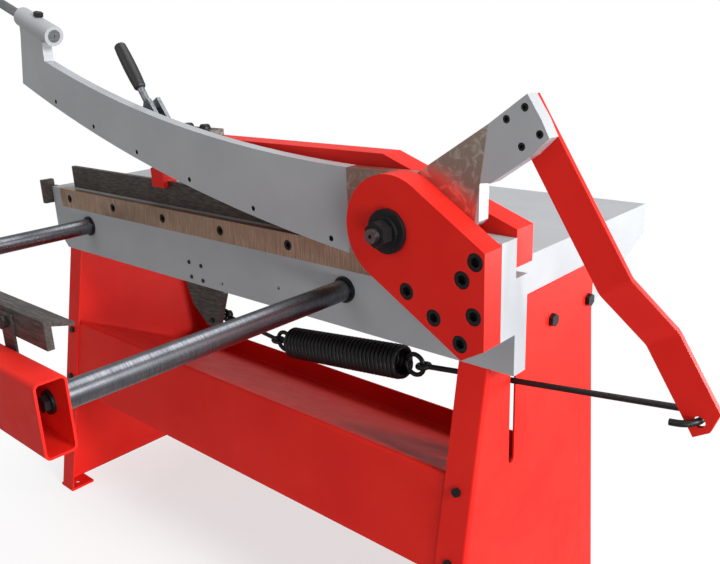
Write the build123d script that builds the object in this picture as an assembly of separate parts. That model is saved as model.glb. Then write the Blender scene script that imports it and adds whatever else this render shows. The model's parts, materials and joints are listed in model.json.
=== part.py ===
"""Hand lever guillotine shear for sheet metal, 1000 mm blades, on a folded steel stand.

Everything is drawn from the cutting line, in millimetres: X runs along the lower blade from its
handle end, Y = 0 is the shear plane with the table behind it (+Y), and Z = 0 is the table top.
save() moves each piece to the part's own frame, whose origin is the centre of the four floor
bolt holes, at floor level.
"""

import os
from math import acos, atan2, cos, degrees, hypot, pi, radians, sin

from build123d import *

os.makedirs("parts", exist_ok=True)

# ---- driving dimensions ----------------------------------------------------------------------

TABLE_HEIGHT = 736.0            # floor to table top

# running clearances
FIT = 0.05                      # radial clearance of a shaft in its bush
SLIDE_FIT = 0.08                # radial clearance of a guide rod in its bush
HOLE_GAP = 0.2                  # radial clearance of a screw in a plain hole
RUNNING_GAP = 0.3               # side clearance of the arm beside the front cheek
BLADE_GAP = 0.2                 # gap between the faces of the two blades

# bed
BED_LEFT = -36.0
BED_RIGHT = 1222.0
BED_HEIGHT = 143.0
BED_THICK = 30.0
TABLE_BACK = 520.0
TABLE_THICK = 12.0
APRON_HEIGHT = 56.0
RIB_THICK = 10.0
RIB_FLAT_Y = 314.0              # where a rib's underside starts to rise to the back
MID_RIBS_X = (410.0, 790.0)
MID_RIB_BOTTOM = -110.0

# lower blade
BLADE_LENGTH = 1000.0
BLADE_HEIGHT = 43.0
LOWER_BLADE_THICK = 14.0
BLADE_SCREWS = 6
BLADE_SCREW_MARGIN = 40.0
BLADE_SCREW_D = 10.0
BLADE_HEAD_D = 18.0

# arm and upper blade
PIVOT = (1066.0, 60.0)
ARM_THICK = 22.0
UPPER_BLADE_THICK = 13.8
UPPER_BLADE_HEIGHT = 45.0
UPPER_BLADE_DROP = 1.5          # the cutting edge stands this far below the arm
ARM_CLOSED_DEG = 14.0
HUB_R = 66.0
PIVOT_D = 40.0
BUSH_WALL = 5.0

# handle
BOSS_R = 21.0
BOSS_LENGTH = 130.0
BOSS_RIGHT = (129.0, 336.0)     # centre of the boss's lower end
BOSS_RISE_DEG = 160.7           # direction of the handle bar, from +X
BAR_END_D = 27.0                # the bar's turned end, inside the boss
BAR_D = 20.0
BAR_CENTRE_D = 5.0              # centre hole in the bar's turned end
BAR_OUT = 330.0                 # bare bar between the boss and the grip
GRIP_D = 34.0
GRIP_LENGTH = 130.0

# cheeks
CHEEK_THICK = 40.0
CHEEK_R = 78.0
REAR_CHEEK_THICK = 41.0
REAR_CHEEK_GAP = 15.0           # from the table top up to the rear cheek
CANTILEVER_LEFT = 432.0
CANTILEVER_BOTTOM = 95.0
REAR_CHEEK_TOP = 150.0
REAR_CHEEK_LEFT = 972.0
CHEEK_SCREW_D = 16.0
CHEEK_HEAD_D = 24.0
CHEEK_RIGHT = 1222.0
CHEEK_SHOULDER_Z = 52.0
CHEEK_SIDE_Z = -81.0
CHEEK_TIP = (1186.0, -102.0)
CHEEK_SCREWS = ((1207, 38), (1187, 11), (1095, -22), (1141, -51), (1205, -36), (1184, -79))

# balance lever, behind the arm's tail
LEVER_WIDTH = 46.0
LEVER_THICK = 8.0
LEVER_LENGTH = 460.0
LEVER_JOGGLE = (250.0, 333.0)   # where the joggle starts and ends, from the top
LEVER_OFFSET = 46.5             # how far the joggle sets the lower end back
LEVER_TOP = (1232.0, 230.5)     # middle of the lever's upper end
LEVER_DEG = -58.0               # direction it runs, from +X
LEVER_HOLE = (1462.0, -149.5)
LEVER_HOLE_D = 15.4
LEVER_SCREWS = ((1249, 228), (1224, 213), (1270, 197), (1246, 181))

# balance spring and its links
CHAIN_Y = 66.0
ANCHOR = (500.0, -229.0)
SPRING_HEAD = (658.0, -246.0)   # where the anchor link takes the spring
CHAIN_JOINT = (1014.0, -206.0)  # where the tie rod takes the spring
HEAD_GAP = 47.0                 # from the anchor link's joint to the first coil
TAIL_GAP = 40.0                 # from the last coil to the tie rod's joint
SPRING_R = 26.0                 # to the middle of the wire
SPRING_WIRE_R = 4.0
SPRING_TURNS = 30
EYE_R = 10.0                    # to the middle of the wire
LINK_WIRE_R = 4.0
TIE_ROD_R = 4.5
ANCHOR_PIN_D = 10.0

# stand
LEG_LEFT = 4.0
LEG_RIGHT = 1182.0
LEG_SHEET = 3.0
FLANGE = 52.0
FRONT_SPLAY = 0.20              # legs lean out this much per unit of height
REAR_SPLAY = 0.113
LEG_BACK_TOP = (321.0, -152.0)  # (y, z) where the rear flange starts
TONGUE_TOP = -60.0
TONGUE_BACK = 316.0
FOOT_THICK = 6.0
FOOT_DEPTH = 58.0
FOOT_HOLE_D = 14.0
CHUTE_FOLD_Z = -317.0
CHUTE_FRONT_Z = -477.0
CHUTE_BACK_Z = -503.0
CHUTE_LIP_Z = -447.0

# front gauge
ROD_D = 35.0
RODS_X = (115.0, 906.0)
ROD_Z = -76.0
ROD_BACK = 80.0
BEAM_BACK = -506.0
BEAM_WIDTH = 40.0
BEAM_HEIGHT = 95.0
BEAM_WALL = 3.0
BEAM_OVERHANG = 46.0
RAIL_RIGHT = 909.0
RAIL_FRONT = -503.0

# hold-down
HOLD_FRONT = 26.0
HOLD_THICK = 10.0
HOLD_HEIGHT = 49.0
HOLD_LEFT = 22.0
HOLD_RIGHT = 958.0
HOLD_FLANGE = 50.0
CLAMP = (399.0, 168.0)          # pin of the cam lever
CAM_R = 22.0
CAM_OFFSET = 12.0
CAM_REST_GAP = 1.3              # cam to foot when clamped
CLAMP_PIN_D = 10.0
CLAMP_LEAN_DEG = 124.7          # direction of the clamp handle, from +X

# ---- derived places --------------------------------------------------------------------------

ARM_BACK = -(BLADE_GAP + UPPER_BLADE_THICK)
ARM_FRONT = ARM_BACK - ARM_THICK
CHEEK_BACK = ARM_FRONT - RUNNING_GAP
CHEEK_FRONT = CHEEK_BACK - CHEEK_THICK
FLOOR = -TABLE_HEIGHT
RIB_BOTTOM = -BED_HEIGHT
FRONT_FOOT_Y = -FRONT_SPLAY * (TABLE_HEIGHT - BED_HEIGHT)
REAR_FOOT_Y = LEG_BACK_TOP[0] + REAR_SPLAY * (TABLE_HEIGHT + LEG_BACK_TOP[1])
FLOOR_HOLES_X = (LEG_LEFT + FLANGE / 2, LEG_RIGHT - FLANGE / 2)
FLOOR_HOLES_Y = (FRONT_FOOT_Y + FOOT_DEPTH / 2, REAR_FOOT_Y - FOOT_DEPTH / 2)
ORIGIN = (sum(FLOOR_HOLES_X) / 2, sum(FLOOR_HOLES_Y) / 2, FLOOR)


# ---- helpers ---------------------------------------------------------------------------------

def save(node, shape):
    """Write one node, moved to the part's own frame."""
    export_step(Pos(-ORIGIN[0], -ORIGIN[1], -ORIGIN[2]) * shape, f"parts/{node}.step")


def save_group(node, solids):
    """Write identical pieces as one node of separate solids."""
    save(node, Compound(children=list(solids)))


def xz_plate(face, y_low, y_high):
    """A face drawn in (x, z), given its thickness along Y."""
    return extrude(Plane.XZ.offset(-y_high) * face, y_high - y_low)


def yz_plate(face, x_low, x_high):
    """A face drawn in (y, z), given its thickness along X."""
    return extrude(Plane.YZ.offset(x_low) * face, x_high - x_low)


def polygon(*points):
    """A flat face with straight edges through the points."""
    return make_face(Polyline(*points, close=True))


def bar(start, end, radius):
    """A round bar from one point to another."""
    a, b = Vector(*start), Vector(*end)
    place = Plane(origin=a, z_dir=b - a)
    return place * Cylinder(radius, (b - a).length, align=(Align.CENTER, Align.CENTER, Align.MIN))


def y_bar(x, z, radius, y_low, y_high):
    """A round bar along Y."""
    return bar((x, y_low, z), (x, y_high, z), radius)


def block(x_low, x_high, y_low, y_high, z_low, z_high):
    """A rectangular block between six limits."""
    size = (x_high - x_low, y_high - y_low, z_high - z_low)
    return Pos(x_low, y_low, z_low) * Box(*size, align=(Align.MIN, Align.MIN, Align.MIN))


def hexagon(start, end, across_flats):
    """A hexagonal prism from one point to another."""
    a, b = Vector(*start), Vector(*end)
    face = RegularPolygon(across_flats / 2, 6, major_radius=False)
    return extrude(Plane(origin=a, z_dir=b - a) * face, (b - a).length)


def tangent_point(centre, radius, point, side):
    """Where the line from an outside point touches a circle; side is +1 or -1."""
    dx, dz = point[0] - centre[0], point[1] - centre[1]
    turn = atan2(dz, dx) + side * acos(radius / hypot(dx, dz))
    return (centre[0] + radius * cos(turn), centre[1] + radius * sin(turn))


def along(start, direction_deg, distance):
    """The (x, z) point a distance away in a direction."""
    turn = radians(direction_deg)
    return (start[0] + distance * cos(turn), start[1] + distance * sin(turn))


def socket_screw(head_face, tip, head_d, head_length, shank_d):
    """A cap screw with a hexagonal socket, from the top of its head to its tip."""
    a, b = Vector(*head_face), Vector(*tip)
    way = (b - a).normalized()
    neck = a + way * head_length
    screw = bar(a, neck, head_d / 2) + bar(neck, b, shank_d / 2)
    return screw - hexagon(a - way, a + way * head_length * 0.55, head_d * 0.52)


def hex_bolt(seat, tip, across_flats, head_length, shank_d):
    """A hexagon-head bolt, from the seat under its head to its tip."""
    a, b = Vector(*seat), Vector(*tip)
    way = (b - a).normalized()
    return hexagon(a - way * head_length, a, across_flats) + bar(a, b, shank_d / 2)


def circle_through(a, b, c):
    """Centre and radius of the circle through three (x, z) points."""
    ax, az = a[0] - c[0], a[1] - c[1]
    bx, bz = b[0] - c[0], b[1] - c[1]
    area = 2 * (ax * bz - az * bx)
    a_sq, b_sq = ax * ax + az * az, bx * bx + bz * bz
    x = (bz * a_sq - az * b_sq) / area
    z = (ax * b_sq - bx * a_sq) / area
    return (x + c[0], z + c[1]), hypot(x, z)


def flange_y(z):
    """Front face of the legs at a height."""
    return -FRONT_SPLAY * (-BED_HEIGHT - z)


def rear_y(z):
    """Rear face of the legs at a height."""
    return LEG_BACK_TOP[0] + REAR_SPLAY * (LEG_BACK_TOP[1] - z)


# ---- bed -------------------------------------------------------------------------------------

blade_pitch = (BLADE_LENGTH - 2 * BLADE_SCREW_MARGIN) / (BLADE_SCREWS - 1)
blade_screws_x = [BLADE_SCREW_MARGIN + i * blade_pitch for i in range(BLADE_SCREWS)]
blade_screw_z = -BLADE_HEIGHT / 2
bracket_screws_xz = ((484, -100), (522, -102), (488, -130), (524, -132))
BRACKET_SCREW_D = 8.0
rod_bore_r = ROD_D / 2 + SLIDE_FIT

bed = block(BED_LEFT, BED_RIGHT, 0, BED_THICK, -BED_HEIGHT, 0)
bed -= block(0, BLADE_LENGTH, 0, LOWER_BLADE_THICK, -BLADE_HEIGHT, 0)
corner = polygon((BED_LEFT, -BED_HEIGHT), (BED_LEFT + 36, -BED_HEIGHT), (BED_LEFT, -BED_HEIGHT + 35))
bed -= xz_plate(corner, 0, BED_THICK)
for x in RODS_X:
    bed -= y_bar(x, ROD_Z, rod_bore_r, 0, BED_THICK)
for x in blade_screws_x:
    bed -= y_bar(x, blade_screw_z, BLADE_SCREW_D / 2 + HOLE_GAP, 0, BED_THICK)
for x, z in bracket_screws_xz:
    bed -= y_bar(x, z, BRACKET_SCREW_D / 2 + HOLE_GAP, 0, BED_THICK)
for x, z in CHEEK_SCREWS:
    if z < 0:
        bed -= y_bar(x, z, CHEEK_SCREW_D / 2 + HOLE_GAP, 0, BED_THICK)
for x, z in ((583, -127), (744, -105)):
    bed -= y_bar(x, z, 3.5, 0, BED_THICK)
GUIDE_BOLT = (13.0, -21.0)      # (y, z) of the arm guide's bolt in the end of the bed
GUIDE_BOLT_D = 8.0
bed -= bar((BED_LEFT, *GUIDE_BOLT), (BED_LEFT + 24, *GUIDE_BOLT), GUIDE_BOLT_D / 2 + HOLE_GAP)
save("bed_front_plate", bed)

table_right = LEG_RIGHT - LEG_SHEET
APRON_THICK = 12.0
apron_front = TABLE_BACK - APRON_THICK
top = block(BED_LEFT, table_right, BED_THICK, TABLE_BACK, -TABLE_THICK, 0)
top += block(BED_LEFT, table_right, apron_front, TABLE_BACK, -APRON_HEIGHT, -TABLE_THICK)
save("table_top", top)

RIB_BOLTS_YZ = ((178.0, -121.0), (300.0, -122.0))
RIB_BOLT_D = 12.0
SLOT_WIDTH = 15.0
SLOT_TOP = -72.0
SLOT_BOTTOM = -325.0
slot = block(table_right - RIB_THICK, LEG_RIGHT, CHAIN_Y - SLOT_WIDTH / 2, CHAIN_Y + SLOT_WIDTH / 2,
             SLOT_BOTTOM + SLOT_WIDTH / 2, SLOT_TOP)
slot_end = (CHAIN_Y, SLOT_BOTTOM + SLOT_WIDTH / 2)
slot += bar((table_right - RIB_THICK, *slot_end), (LEG_RIGHT, *slot_end), SLOT_WIDTH / 2)

rib_rise = (BED_HEIGHT - APRON_HEIGHT) / (TABLE_BACK - RIB_FLAT_Y)
rib_end_z = -BED_HEIGHT + rib_rise * (apron_front - RIB_FLAT_Y)
end_rib = polygon((BED_THICK, -TABLE_THICK), (apron_front, -TABLE_THICK), (apron_front, rib_end_z),
                  (RIB_FLAT_Y, -BED_HEIGHT), (BED_THICK, -BED_HEIGHT))
mid_flat_y = RIB_FLAT_Y + (MID_RIB_BOTTOM + BED_HEIGHT) / rib_rise
mid_rib = polygon((BED_THICK, -TABLE_THICK), (apron_front, -TABLE_THICK), (apron_front, rib_end_z),
                  (mid_flat_y, MID_RIB_BOTTOM), (BED_THICK, MID_RIB_BOTTOM))
left_rib_x = LEG_LEFT + LEG_SHEET
right_rib_x = table_right - RIB_THICK
ribs = [yz_plate(end_rib, x, x + RIB_THICK) for x in (left_rib_x, right_rib_x)]
for i in range(len(ribs)):
    for y, z in RIB_BOLTS_YZ:
        ribs[i] -= bar((BED_LEFT, y, z), (BED_RIGHT, y, z), RIB_BOLT_D / 2 + HOLE_GAP)
save("slotted_end_rib", ribs.pop() - slot)
ribs += [yz_plate(mid_rib, x - RIB_THICK / 2, x + RIB_THICK / 2) for x in MID_RIBS_X]
save_group("table_ribs", ribs)

lower_blade = block(0, BLADE_LENGTH, 0, LOWER_BLADE_THICK, -BLADE_HEIGHT, 0)
blade_head_seat = 9.0
for x in blade_screws_x:
    lower_blade -= y_bar(x, blade_screw_z, BLADE_SCREW_D / 2 + HOLE_GAP, 0, LOWER_BLADE_THICK)
    lower_blade -= y_bar(x, blade_screw_z, BLADE_HEAD_D / 2 + HOLE_GAP, 0, blade_head_seat)
save("lower_blade", lower_blade)
blade_head_face = 1.0
save_group("lower_blade_screws", [
    socket_screw((x, blade_head_face, blade_screw_z), (x, BED_THICK - 2, blade_screw_z),
                 BLADE_HEAD_D, blade_head_seat - blade_head_face, BLADE_SCREW_D)
    for x in blade_screws_x])

# ---- stand -----------------------------------------------------------------------------------

leg_floor = FLOOR + FOOT_THICK
FOLD_R = 6.0
flange_skin = LEG_SHEET * hypot(1, FRONT_SPLAY)
rear_skin = LEG_SHEET * hypot(1, REAR_SPLAY)


def leg_prism(x_low, x_high, front_in, rear_in, fold_r):
    """The leg's tapering body with its two long outer edges rounded."""
    outline = polygon((flange_y(RIB_BOTTOM) + front_in, RIB_BOTTOM),
                      (rear_y(RIB_BOTTOM) - rear_in, RIB_BOTTOM),
                      (rear_y(leg_floor) - rear_in, leg_floor),
                      (flange_y(leg_floor) + front_in, leg_floor))
    prism = yz_plate(outline, x_low, x_high)
    long_edges = [e for e in prism.edges() if e.length > TABLE_HEIGHT / 2 and e.center().X < x_low + 1]
    return fillet(long_edges, fold_r)


PANEL_BOLTS_Z = (-336.0, -450.0)
LIP_BOLT_Z = -470.0
PANEL_BOLT_D = 8.0
panel_bolt_in = FLANGE / 2 + 2
panel_bolts_x = (LEG_LEFT + panel_bolt_in, LEG_RIGHT - panel_bolt_in)
front_way = Vector(0, 1, -FRONT_SPLAY).normalized()
rear_way = Vector(0, -1, -REAR_SPLAY).normalized()


def flange_bolts(reach_out, reach_in, radius):
    """Straight bars through the flanges at each panel bolt, as long as the two reaches."""
    bars = []
    for x in panel_bolts_x:
        for z in PANEL_BOLTS_Z:
            seat = Vector(x, flange_y(z), z)
            bars.append(bar(seat - front_way * reach_out, seat + front_way * reach_in, radius))
        seat = Vector(x, rear_y(LIP_BOLT_Z), LIP_BOLT_Z)
        bars.append(bar(seat - rear_way * reach_out, seat + rear_way * reach_in, radius))
    return bars


left_leg = leg_prism(LEG_LEFT, LEG_LEFT + FLANGE, 0, 0, FOLD_R)
left_leg -= leg_prism(LEG_LEFT + LEG_SHEET, LEG_LEFT + FLANGE, flange_skin, rear_skin, FOLD_R - LEG_SHEET)
left_leg -= block(LEG_LEFT + LEG_SHEET, LEG_LEFT + FLANGE, BED_THICK, TABLE_BACK, LEG_BACK_TOP[1], RIB_BOTTOM)
left_leg += block(LEG_LEFT, LEG_LEFT + LEG_SHEET, BED_THICK, TONGUE_BACK, RIB_BOTTOM - FOLD_R, TONGUE_TOP)
middle = Plane.YZ.offset((LEG_LEFT + LEG_RIGHT) / 2)
right_leg = mirror(left_leg, about=middle) - slot
for y, z in RIB_BOLTS_YZ:
    rib_bore = bar((BED_LEFT, y, z), (BED_RIGHT, y, z), RIB_BOLT_D / 2 + HOLE_GAP)
    left_leg -= rib_bore
    right_leg -= rib_bore
for bore in flange_bolts(10, 10, PANEL_BOLT_D / 2 + HOLE_GAP):
    left_leg -= bore
    right_leg -= bore
save("left_leg", left_leg)
save("right_leg", right_leg)

feet = []
for x in FLOOR_HOLES_X:
    for y in FLOOR_HOLES_Y:
        foot = block(x - FLANGE / 2, x + FLANGE / 2, y - FOOT_DEPTH / 2, y + FOOT_DEPTH / 2, FLOOR, leg_floor)
        feet.append(foot - bar((x, y, FLOOR), (x, y, leg_floor), FOOT_HOLE_D / 2))
save_group("foot_plates", feet)

CHUTE_SHEET = 3.0
skin = flange_skin + CHUTE_SHEET / 2 * hypot(1, FRONT_SPLAY)
lip = rear_skin + CHUTE_SHEET / 2 * hypot(1, REAR_SPLAY)
chute_line = FilletPolyline(
    (flange_y(CHUTE_FRONT_Z) + skin, CHUTE_FRONT_Z), (flange_y(CHUTE_FOLD_Z) + skin, CHUTE_FOLD_Z),
    (rear_y(CHUTE_BACK_Z) - lip, CHUTE_BACK_Z), (rear_y(CHUTE_LIP_Z) - lip, CHUTE_LIP_Z), radius=5)
chute_end = LEG_SHEET + FOLD_R
chute = yz_plate(trace(chute_line, CHUTE_SHEET), LEG_LEFT + chute_end, LEG_RIGHT - chute_end)
for bore in flange_bolts(10, 10, PANEL_BOLT_D / 2 + HOLE_GAP):
    chute -= bore
save("chute_panel", chute)

panel_bolts = []
for x in panel_bolts_x:
    for z in PANEL_BOLTS_Z:
        seat = Vector(x, flange_y(z), z)
        panel_bolts.append(hex_bolt(seat, seat + front_way * 16, 13, 5.5, PANEL_BOLT_D))
    seat = Vector(x, rear_y(LIP_BOLT_Z), LIP_BOLT_Z)
    panel_bolts.append(hex_bolt(seat, seat + rear_way * 16, 13, 5.5, PANEL_BOLT_D))
save_group("panel_bolts", panel_bolts)

rib_bolts = []
for y, z in RIB_BOLTS_YZ:
    rib_bolts.append(hex_bolt((LEG_LEFT, y, z), (LEG_LEFT + 26, y, z), 19, 7.5, RIB_BOLT_D))
    rib_bolts.append(hex_bolt((LEG_RIGHT, y, z), (LEG_RIGHT - 26, y, z), 19, 7.5, RIB_BOLT_D))
save_group("rib_bolts", rib_bolts)

# ---- cheeks and pivot ------------------------------------------------------------------------

shoulder = (CHEEK_RIGHT, CHEEK_SHOULDER_Z)
cheek_low = tangent_point(PIVOT, CHEEK_R, CHEEK_TIP, -1)
cheek_face = Pos(*PIVOT) * Circle(CHEEK_R)
cheek_face += polygon(PIVOT, tangent_point(PIVOT, CHEEK_R, shoulder, 1), shoulder,
                      (CHEEK_RIGHT, CHEEK_SIDE_Z), CHEEK_TIP, cheek_low)
cheek_bores = []
for x, z in CHEEK_SCREWS:
    cheek_bores.append(y_bar(x, z, CHEEK_SCREW_D / 2 + HOLE_GAP, CHEEK_FRONT, REAR_CHEEK_THICK - 10))
counterbore = CHEEK_SCREW_D
front_cheek = xz_plate(cheek_face, CHEEK_FRONT, CHEEK_BACK)
front_cheek -= y_bar(*PIVOT, PIVOT_D / 2 + FIT, CHEEK_FRONT, CHEEK_BACK)
for x, z in CHEEK_SCREWS:
    front_cheek -= y_bar(x, z, CHEEK_HEAD_D / 2 + 0.5, CHEEK_FRONT, CHEEK_FRONT + counterbore)
for bore in cheek_bores:
    front_cheek -= bore
save("front_cheek", front_cheek)

# tail of the arm, from the lower edge round the end to the top
TAIL_STEP = (1186.0, 80.0)      # lower corner of the tail, above the spacer
SPACER_TOP = 56.0
SPACER_CLEAR = 6.0
spacer_r = HUB_R + SPACER_CLEAR
spacer_corner = (TAIL_STEP[0], TAIL_STEP[1] - SPACER_CLEAR * 1.4)
edge_way = degrees(atan2(CHEEK_TIP[1] - cheek_low[1], CHEEK_TIP[0] - cheek_low[0]))
spacer_face = polygon((CHEEK_RIGHT, SPACER_TOP), (CHEEK_RIGHT, CHEEK_SIDE_Z), CHEEK_TIP,
                      along(cheek_low, edge_way, 30), PIVOT, (PIVOT[0], SPACER_TOP))
spacer_face -= Pos(*PIVOT) * Circle(spacer_r)
spacer_face -= polygon(PIVOT, tangent_point(PIVOT, spacer_r, spacer_corner, -1), spacer_corner,
                       (spacer_corner[0], PIVOT[1] + HUB_R), (PIVOT[0], PIVOT[1] + HUB_R))
spacer = xz_plate(spacer_face, CHEEK_BACK, 0)
for bore in cheek_bores:
    spacer -= bore
save("cheek_spacer", spacer)

rear_face = polygon((CHEEK_RIGHT, REAR_CHEEK_GAP), (CHEEK_RIGHT, 67), (995, REAR_CHEEK_TOP),
                    (CANTILEVER_LEFT, REAR_CHEEK_TOP), (CANTILEVER_LEFT, CANTILEVER_BOTTOM),
                    (REAR_CHEEK_LEFT, CANTILEVER_BOTTOM), (REAR_CHEEK_LEFT, REAR_CHEEK_GAP))
inner_corner = [v for v in rear_face.vertices() if abs(v.X - REAR_CHEEK_LEFT) < 1 and v.Y > 90]
rear_face = fillet(inner_corner, 30)
BRACKET_BOLTS_X = (500.0, 550.0)
BRACKET_BOLT_D = 12.0
clamp_mid_y = REAR_CHEEK_THICK / 2
rear_cheek = xz_plate(rear_face, 0, REAR_CHEEK_THICK)
rear_cheek -= y_bar(*PIVOT, PIVOT_D / 2 + FIT, 0, REAR_CHEEK_THICK)
rear_cheek -= cheek_bores[0]
for x in BRACKET_BOLTS_X:
    rear_cheek -= bar((x, clamp_mid_y, REAR_CHEEK_TOP - 30), (x, clamp_mid_y, REAR_CHEEK_TOP),
                      BRACKET_BOLT_D / 2 + HOLE_GAP)
save("rear_cheek", rear_cheek)

cheek_screws = []
for i, (x, z) in enumerate(CHEEK_SCREWS):
    tip = {0: REAR_CHEEK_THICK - 12, 1: -2}.get(i, BED_THICK - 3)
    cheek_screws.append(socket_screw((x, CHEEK_FRONT + 1, z), (x, tip, z),
                                     CHEEK_HEAD_D, counterbore - 1, CHEEK_SCREW_D))
save_group("cheek_screws", cheek_screws)

WASHER_D = 63.0
WASHER_THICK = 7.0
WASHER_STEP_D = 44.0
WASHER_STEP = 5.0
NUT_FLATS = 32.0
NUT_THICK = 18.0
STUD_D = 20.0
STUD_END = -115.0
CENTRE_HOLE_D = 6.0
PIVOT_HEAD_D = 60.0
PIVOT_HEAD_THICK = 8.0
shaft = y_bar(*PIVOT, PIVOT_D / 2, CHEEK_FRONT, REAR_CHEEK_THICK)
shaft += y_bar(*PIVOT, STUD_D / 2, STUD_END, CHEEK_FRONT)
shaft += y_bar(*PIVOT, PIVOT_HEAD_D / 2, REAR_CHEEK_THICK, REAR_CHEEK_THICK + PIVOT_HEAD_THICK)
shaft -= y_bar(*PIVOT, CENTRE_HOLE_D / 2, STUD_END, STUD_END + CENTRE_HOLE_D)
save("pivot_shaft", shaft)
washer_front = CHEEK_FRONT - WASHER_THICK - WASHER_STEP
washer = y_bar(*PIVOT, WASHER_D / 2, CHEEK_FRONT - WASHER_THICK, CHEEK_FRONT)
washer += y_bar(*PIVOT, WASHER_STEP_D / 2, washer_front, CHEEK_FRONT - WASHER_THICK)
save("pivot_washer", washer - y_bar(*PIVOT, STUD_D / 2 + HOLE_GAP, washer_front, CHEEK_FRONT))
nut_front = washer_front - NUT_THICK
nut = hexagon((PIVOT[0], washer_front, PIVOT[1]), (PIVOT[0], nut_front, PIVOT[1]), NUT_FLATS)
save("pivot_nut", nut - y_bar(*PIVOT, STUD_D / 2 + FIT, nut_front, washer_front))

# ---- arm -------------------------------------------------------------------------------------

ARM_LOWER = ((-22.0, 240.0), (445.0, 92.0), (947.0, 2.0))
ARM_UPPER = ((92.0, 287.0), (508.0, 180.0), (964.0, 132.0))
TAIL_TOP = ((1083.0, 134.0), (1198.0, 206.0), (1252.0, 244.0))
TAIL_END = ((1272.0, 214.0), (1283.0, 193.0), (1259.0, 170.0))
TAIL_BOTTOM = ((1203.0, 132.0), (1187.0, 130.0))
NECK_CORNER = (4.0, 344.0)
boss_left = along(BOSS_RIGHT, BOSS_RISE_DEG, BOSS_LENGTH)
neck_top = (ARM_UPPER[0][0], BOSS_RIGHT[1] + (BOSS_RIGHT[0] - ARM_UPPER[0][0]) * 0.35)
hub_start = tangent_point(PIVOT, HUB_R, ARM_LOWER[2], 1)
hub_end = tangent_point(PIVOT, HUB_R, TAIL_STEP, -1)
outline = ThreePointArc(*ARM_LOWER)
outline += Polyline(ARM_LOWER[2], hub_start, PIVOT, hub_end, TAIL_STEP, TAIL_BOTTOM[1], TAIL_BOTTOM[0],
                    TAIL_END[2], TAIL_END[1], TAIL_END[0], *reversed(TAIL_TOP), ARM_UPPER[2])
outline += ThreePointArc(*reversed(ARM_UPPER))
outline += Polyline(ARM_UPPER[0], neck_top, boss_left, NECK_CORNER, ARM_LOWER[0])
arm_face = make_face(outline) + Pos(*PIVOT) * Circle(HUB_R)
arm_mid_y = (ARM_FRONT + ARM_BACK) / 2
boss_start = (BOSS_RIGHT[0], arm_mid_y, BOSS_RIGHT[1])
boss_end = (boss_left[0], arm_mid_y, boss_left[1])
SET_SCREW_D = 10.0
boss_mid = along(BOSS_RIGHT, BOSS_RISE_DEG, BOSS_LENGTH / 2)
set_screw_foot = along(boss_mid, BOSS_RISE_DEG - 90, BAR_END_D / 2)
set_screw_top = along(boss_mid, BOSS_RISE_DEG - 90, BOSS_R + 9)
REAR_BOSS_R = 45.0
hub_back = -0.5
bush_r = PIVOT_D / 2 + BUSH_WALL
arm = xz_plate(arm_face, ARM_FRONT, ARM_BACK)
arm += y_bar(*PIVOT, REAR_BOSS_R, ARM_BACK, hub_back)
arm += bar(boss_start, boss_end, BOSS_R)
arm -= bar(boss_start, boss_end, BAR_END_D / 2 + FIT)
arm -= bar((set_screw_foot[0], arm_mid_y, set_screw_foot[1]),
           (set_screw_top[0], arm_mid_y, set_screw_top[1]), SET_SCREW_D / 2 + HOLE_GAP)
arm -= y_bar(*PIVOT, bush_r + FIT, ARM_FRONT, hub_back)

edge_centre, edge_r = circle_through(*ARM_LOWER)
UPPER_SCREW_RISE = 13.0
UPPER_SCREWS_X = (76.0, 235.0, 396.0, 567.0, 744.0, 925.0)
UPPER_SCREW_D = 6.0
UPPER_HEAD_D = 9.0
upper_head_length = 6.0


def edge_point(x, rise):
    """A point above the arm's lower edge, measured square to it."""
    tilt = atan2(x - edge_centre[0], edge_centre[1] - ARM_LOWER[1][1])
    reach = edge_r - rise
    return (edge_centre[0] + reach * sin(tilt), edge_centre[1] - reach * cos(tilt))


upper_screws_xz = [edge_point(x, UPPER_SCREW_RISE) for x in UPPER_SCREWS_X]
blade_top = UPPER_BLADE_HEIGHT - UPPER_BLADE_DROP
blade_ends_x = (ARM_LOWER[0][0], (ARM_LOWER[0][0] + BLADE_LENGTH) / 2, BLADE_LENGTH)
low = [edge_point(x, -UPPER_BLADE_DROP) for x in blade_ends_x]
high = [edge_point(x, blade_top) for x in blade_ends_x]
blade_outline = ThreePointArc(*low) + Line(low[2], high[2])
blade_outline += ThreePointArc(*reversed(high)) + Line(high[0], low[0])
upper_blade = xz_plate(make_face(blade_outline), ARM_BACK, -BLADE_GAP)
for x, z in upper_screws_xz:
    upper_blade -= y_bar(x, z, UPPER_SCREW_D / 2 + HOLE_GAP, ARM_BACK, -BLADE_GAP)
    arm -= y_bar(x, z, UPPER_SCREW_D / 2 + HOLE_GAP, ARM_FRONT, ARM_BACK)
    arm -= y_bar(x, z, UPPER_HEAD_D / 2 + HOLE_GAP, ARM_FRONT, ARM_FRONT + upper_head_length + 0.5)
save("upper_blade", upper_blade)
save_group("upper_blade_screws", [
    socket_screw((x, ARM_FRONT + 0.5, z), (x, -BLADE_GAP - 3, z), UPPER_HEAD_D, upper_head_length, UPPER_SCREW_D)
    for x, z in upper_screws_xz])

LEVER_SCREW_D = 6.0
LEVER_HEAD_D = 10.0
lever_head_length = 6.0
for x, z in LEVER_SCREWS:
    arm -= y_bar(x, z, LEVER_SCREW_D / 2 + HOLE_GAP, ARM_FRONT, ARM_BACK)
    arm -= y_bar(x, z, LEVER_HEAD_D / 2 + HOLE_GAP, ARM_FRONT, ARM_FRONT + lever_head_length + 0.5)
save("blade_arm", arm)
lever_back = ARM_BACK + LEVER_THICK
save_group("lever_screws", [
    socket_screw((x, ARM_FRONT + 0.5, z), (x, lever_back + 2, z), LEVER_HEAD_D, lever_head_length, LEVER_SCREW_D)
    for x, z in LEVER_SCREWS])

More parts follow.
